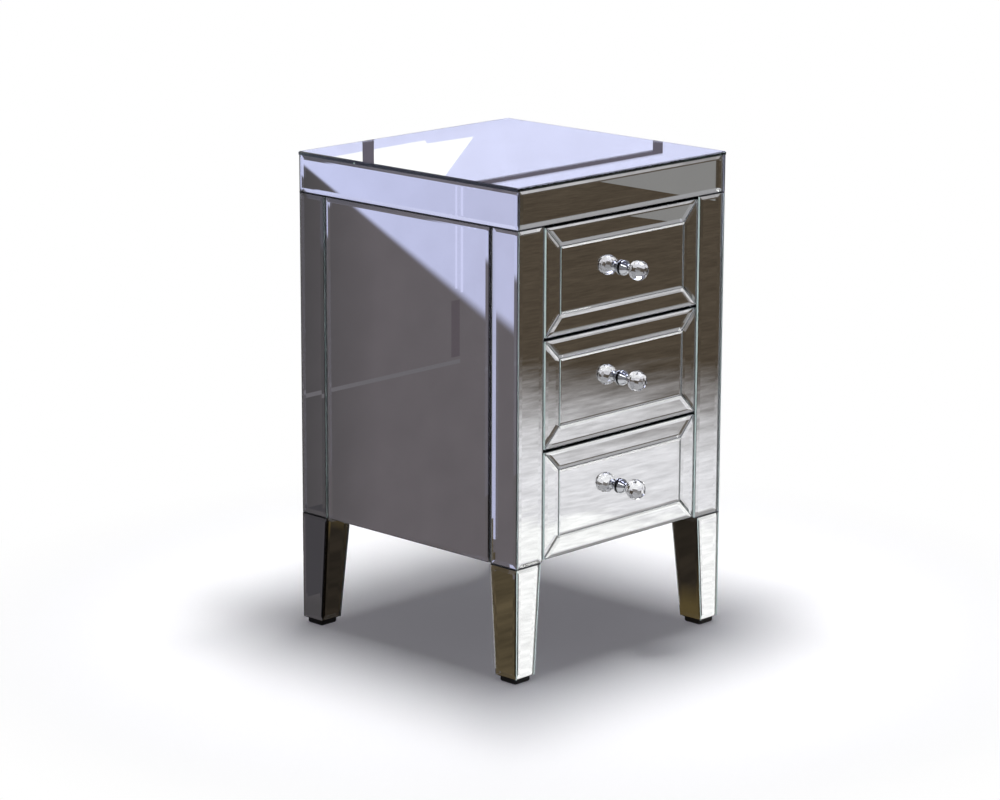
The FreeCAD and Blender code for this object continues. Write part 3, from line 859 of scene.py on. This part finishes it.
def frontCardPaper():
    # Painted sunlight on the floor before the chest, then brown floor in painted shade further out, with a
    # ragged, streaky edge between
    look = frontCard
    material, tree, output, place = newMaterial("front card")
    offset = addNode(tree, "ShaderNodeVectorMath", {0: place, 1: look["centre"]}, operation="SUBTRACT")
    distance = addNode(tree, "ShaderNodeVectorMath", {0: offset.outputs["Vector"]}, operation="LENGTH")
    drawn = addNode(tree, "ShaderNodeMapping", {"Vector": place, "Scale": look["drawnOut"]})
    streak = addNode(tree, "ShaderNodeTexNoise", {
        "Vector": drawn.outputs["Vector"], "Scale": perMetre(look["streakMm"]), "Detail": 8.0,
        "Roughness": 0.65})
    shift = addNode(tree, "ShaderNodeMapRange", {
        "Value": streak.outputs["Fac"], "To Min": -look["streakShift"], "To Max": look["streakShift"],
        **noiseRange})
    ragged = addNode(tree, "ShaderNodeMath", {0: distance.outputs["Value"], 1: shift.outputs["Result"]},
                     operation="ADD")
    close = addNode(tree, "ShaderNodeMapRange", {
        "Value": ragged.outputs[0], "From Min": look["whiteRadius"] - look["whiteSoft"],
        "From Max": look["whiteRadius"] + look["whiteSoft"]})
    dusk = addNode(tree, "ShaderNodeMapRange", {
        "Value": ragged.outputs[0], "From Min": look["paleRadius"], "From Max": look["darkRadius"]},
        interpolation_type="SMOOTHSTEP")
    pale = addNode(tree, "ShaderNodeMix", {
        "Factor": close.outputs["Result"], "A": linear(look["white"]), "B": linear(look["pale"])},
        data_type="RGBA")
    dark = addNode(tree, "ShaderNodeMix", {
        "Factor": streak.outputs["Fac"], "A": linear(look["dark"]), "B": linear(look["darkGrain"])},
        data_type="RGBA")
    colour = addNode(tree, "ShaderNodeMix", {
        "Factor": dusk.outputs["Result"], "A": pale.outputs["Result"], "B": dark.outputs["Result"]},
        data_type="RGBA")
    strength = addNode(tree, "ShaderNodeMapRange", {
        "Value": streak.outputs["Fac"], "To Min": (1 + look["levelDepth"]) * look["level"],
        "To Max": (1 - look["levelDepth"]) * look["level"], **noiseRange})
    grain = addNode(tree, "ShaderNodeTexNoise", {
        "Vector": drawn.outputs["Vector"], "Scale": perMetre(look["grainMm"]), "Detail": 4.0})
    fine = addNode(tree, "ShaderNodeMapRange", {
        "Value": grain.outputs["Fac"], "To Min": 1 - look["grainDepth"], "To Max": 1 + look["grainDepth"],
        **noiseRange})
    total = addNode(tree, "ShaderNodeMath", {0: strength.outputs["Result"], 1: fine.outputs["Result"]},
                    operation="MULTIPLY")
    glow = addNode(tree, "ShaderNodeEmission", {
        "Color": colour.outputs["Result"], "Strength": total.outputs[0]})
    tree.links.new(glow.outputs["Emission"], output.inputs["Surface"])
    return material


brownCard = {"streakMm": 40.0, "drawnOut": (0.2, 1.0, 1.0), "sharpFrom": 0.35, "sharpTo": 0.65}
sideTones = {"dark": "#423a2c", "light": "#5f5440"}
# under the chest the card is dark as painted shade, and its right tone is painted light
underShadeTones = {"dark": "#25211c", "light": "#332d26", "right": "#55492f", "rightFrom": 0.06, "rightTo": 0.12}


def brownCardPaper(name, tones):
    # streaked along X, as the front card is, and where it has a right tone, turning to that; under the chest
    # that tone is painted light reaching in at the right
    look = brownCard
    material, tree, output, place = newMaterial(name)
    drawn = addNode(tree, "ShaderNodeMapping", {"Vector": place, "Scale": look["drawnOut"]})
    streak = addNode(tree, "ShaderNodeTexNoise", {
        "Vector": drawn.outputs["Vector"], "Scale": perMetre(look["streakMm"]), "Detail": 6.0})
    sharp = addNode(tree, "ShaderNodeMapRange", {
        "Value": streak.outputs["Fac"], "From Min": look["sharpFrom"], "From Max": look["sharpTo"]})
    colour = addNode(tree, "ShaderNodeMix", {
        "Factor": sharp.outputs["Result"], "A": linear(tones["dark"]), "B": linear(tones["light"])},
        data_type="RGBA")
    if "right" in tones:
        parts = addNode(tree, "ShaderNodeSeparateXYZ", {"Vector": place})
        right = addNode(tree, "ShaderNodeMapRange", {
            "Value": parts.outputs["X"], "From Min": tones["rightFrom"], "From Max": tones["rightTo"]})
        colour = addNode(tree, "ShaderNodeMix", {
            "Factor": right.outputs["Result"], "A": colour.outputs["Result"], "B": linear(tones["right"])},
            data_type="RGBA")
    glow = addNode(tree, "ShaderNodeEmission", {"Color": colour.outputs["Result"], "Strength": 1.0})
    tree.links.new(glow.outputs["Emission"], output.inputs["Surface"])
    return material


floorCards = {
    "liftMm": 1.5,                                            # above the floor
    "half": 9.0, "far": -9.0,                                 # metres
    "chestHalf": 0.2, "chestFront": -0.19, "chestRear": 0.198,     # where they meet, under the chest's edges
}
half, chestHalf = floorCards["half"], floorCards["chestHalf"]
chestDepth = (floorCards["chestFront"], floorCards["chestRear"])
sidePaper = brownCardPaper("side card", sideTones)
for name, xRange, yRange, paper in (
        ("frontCard", (-half, half), (floorCards["far"], floorCards["chestFront"]), frontCardPaper()),
        ("leftCard", (-half, -chestHalf), chestDepth, sidePaper),
        ("rightCard", (chestHalf, half), chestDepth, sidePaper),
        ("rearStrip", (-half, half), (floorCards["chestRear"], rearCard["y"]), rearPaper),
        ("underCard", (-chestHalf, chestHalf), chestDepth, brownCardPaper("under card", underShadeTones))):
    lyingCard(name, xRange, yRange, floorCards["liftMm"] * mm, paper)

farCard = {
    "x": 2.64, "top": 2.6, "low": "#8a8988", "high": "#a3a3a6", "lowEdge": 0.10, "highEdge": 0.34,
    "shade": "#4a4238", "shadeY": (-2.25, -1.0), "shadeTop": 0.2, "shadeNearer": 0.01,
}


def farCardPaper():
    # a grey that pales upwards
    look = farCard
    material, tree, output, place = newMaterial("far card")
    parts = addNode(tree, "ShaderNodeSeparateXYZ", {"Vector": place})
    rise = addNode(tree, "ShaderNodeMapRange", {
        "Value": parts.outputs["Z"], "From Min": look["lowEdge"], "From Max": look["highEdge"]},
        interpolation_type="SMOOTHSTEP")
    colour = addNode(tree, "ShaderNodeMix", {
        "Factor": rise.outputs["Result"], "A": linear(look["low"]), "B": linear(look["high"])},
        data_type="RGBA")
    glow = addNode(tree, "ShaderNodeEmission", {"Color": colour.outputs["Result"], "Strength": 1.0})
    tree.links.new(glow.outputs["Emission"], output.inputs["Surface"])
    return material


farPaper = farCardPaper()
for x in (-farCard["x"], farCard["x"]):
    uprightCard("farCard", (x, rearCard["y"]), (x, -half), (0, farCard["top"]), farPaper)
shadeX = farCard["x"] - farCard["shadeNearer"]
uprightCard("farShade", (shadeX, farCard["shadeY"][0]), (shadeX, farCard["shadeY"][1]),
            (0, farCard["shadeTop"]), plainGlow("far shade", farCard["shade"]))

cameraSide = {"start": (-2.5, -3.0), "end": (1.2, -6.0), "top": 2.6, "colour": "#57535a"}
uprightCard("cameraSideCard", cameraSide["start"], cameraSide["end"], (0, cameraSide["top"]),
            plainGlow("camera side card", cameraSide["colour"]))

sparkleGlow = plainGlow("sparkle card", "#ffffff", 9.0)      # small and bright, for the cut knobs
overheadCards = [
    # name, place across and from front to rear, height, all in metres, and paper
    ("ceilingCard", (-half, half), (-half, half), 3.4, plainGlow("ceiling card", "#757585")),
    ("skyCard", (0.2, 3.5), (-4.5, -0.8), 3.2, plainGlow("sky card", "#dfe3ff", 4.0)),
    ("sparkleCard", (0.3, 0.9), (-1.9, -1.3), 2.5, sparkleGlow),
    ("sparkleLeft", (-1.5, -1.1), (-1.2, -0.8), 1.9, sparkleGlow),
    ("sparkleRight", (1.2, 1.6), (-1.6, -1.2), 1.5, sparkleGlow),
]
for overhead in overheadCards:
    lyingCard(*overhead)
print("floor, far and overhead cards laid out")

cameraSetup = {
    "azimuth": -46.14, "elevation": 13.629, "roll": 0.195,     # degrees
    "distance": 4.5977, "target": (-0.0224, 0.01885, 0.3149),  # metres
    "lens": 123.45, "sensor": 36.0,                            # mm
    "clipEnd": 100.0,
}
cameraTurn = Quaternion((0, 0, 1), math.radians(cameraSetup["azimuth"]))

softboxes = {
    # over the line of sight with the long side on it, "beyond" metres past the middle of the chest
    "overheadSoftbox": {"beyond": 0.0, "height": 1.7, "size": (0.15, 0.5), "power": 23.0},
    "longSoftbox": {"beyond": 0.2, "height": 2.1, "size": (0.3, 1.4), "power": 15.5},
}
edgeLamp = {
    # from the camera's side, for the ground edges and the painted bevel highlights of the front alone
    "distance": 2.5, "height": 1.1, "aim": 0.35, "size": 0.6, "power": 48.0,
    "lit": ("frost_drawer", "bevel_drawer", "frost_stile_mirrors_front", "frost_leg"),
}


def addLamp(name, power, place, turn):
    light = bpy.data.lights.new(name, "AREA")
    light.energy = power
    lamp = bpy.data.objects.new(name, light)
    lamp.location = place
    lamp.rotation_mode = "QUATERNION"
    lamp.rotation_quaternion = turn
    lamp.visible_glossy = False
    bpy.context.scene.collection.objects.link(lamp)
    return lamp


for name, look in softboxes.items():
    lamp = addLamp(name, look["power"], cameraTurn @ Vector((0, look["beyond"], look["height"])), cameraTurn)
    lamp.data.shape = "RECTANGLE"
    lamp.data.size, lamp.data.size_y = look["size"]


def lightTheEdges():
    look = edgeLamp
    place = cameraTurn @ Vector((0, -look["distance"], look["height"]))
    towards = (Vector((0, 0, look["aim"])) - place).to_track_quat("-Z", "Y")
    lamp = addLamp("edgeLight", look["power"], place, towards)
    lamp.data.size = look["size"]
    edges = bpy.data.collections.new("frosted edges")
    for piece in frosted:
        if piece.name.startswith(look["lit"]):
            edges.objects.link(piece)
    lamp.light_linking.receiver_collection = edges


lightTheEdges()

studioWorld = {"fill": 0.06, "seen": 1.0}      # how bright it is for dull surfaces, and to look at
world = bpy.data.worlds.new("studio")
bpy.context.scene.world = world
world.use_nodes = True
sky = world.node_tree
sky.nodes.clear()
fill = addNode(sky, "ShaderNodeMix", {
    "Factor": seenDirectly(sky), "A": studioWorld["fill"], "B": studioWorld["seen"]})
dome = addNode(sky, "ShaderNodeBackground", {"Color": (1, 1, 1, 1), "Strength": fill.outputs["Result"]})
addNode(sky, "ShaderNodeOutputWorld", {"Surface": dome.outputs[0]})


def addCamera():
    setup = cameraSetup
    a, e = math.radians(setup["azimuth"]), math.radians(setup["elevation"])
    away = Vector((math.sin(a) * math.cos(e), -math.cos(a) * math.cos(e), math.sin(e)))
    data = bpy.data.cameras.new("camera")
    data.lens = setup["lens"]
    data.sensor_width = setup["sensor"]
    data.clip_end = setup["clipEnd"]
    camera = bpy.data.objects.new("camera", data)
    camera.location = Vector(setup["target"]) + away * setup["distance"]
    camera.rotation_mode = "QUATERNION"
    roll = Quaternion((0, 0, 1), math.radians(setup["roll"]))
    camera.rotation_quaternion = (-away).to_track_quat("-Z", "Y") @ roll
    bpy.context.scene.collection.objects.link(camera)
    bpy.context.scene.camera = camera


addCamera()
bpy.context.scene.view_settings.view_transform = "Standard"
print("stage, lights and camera placed")
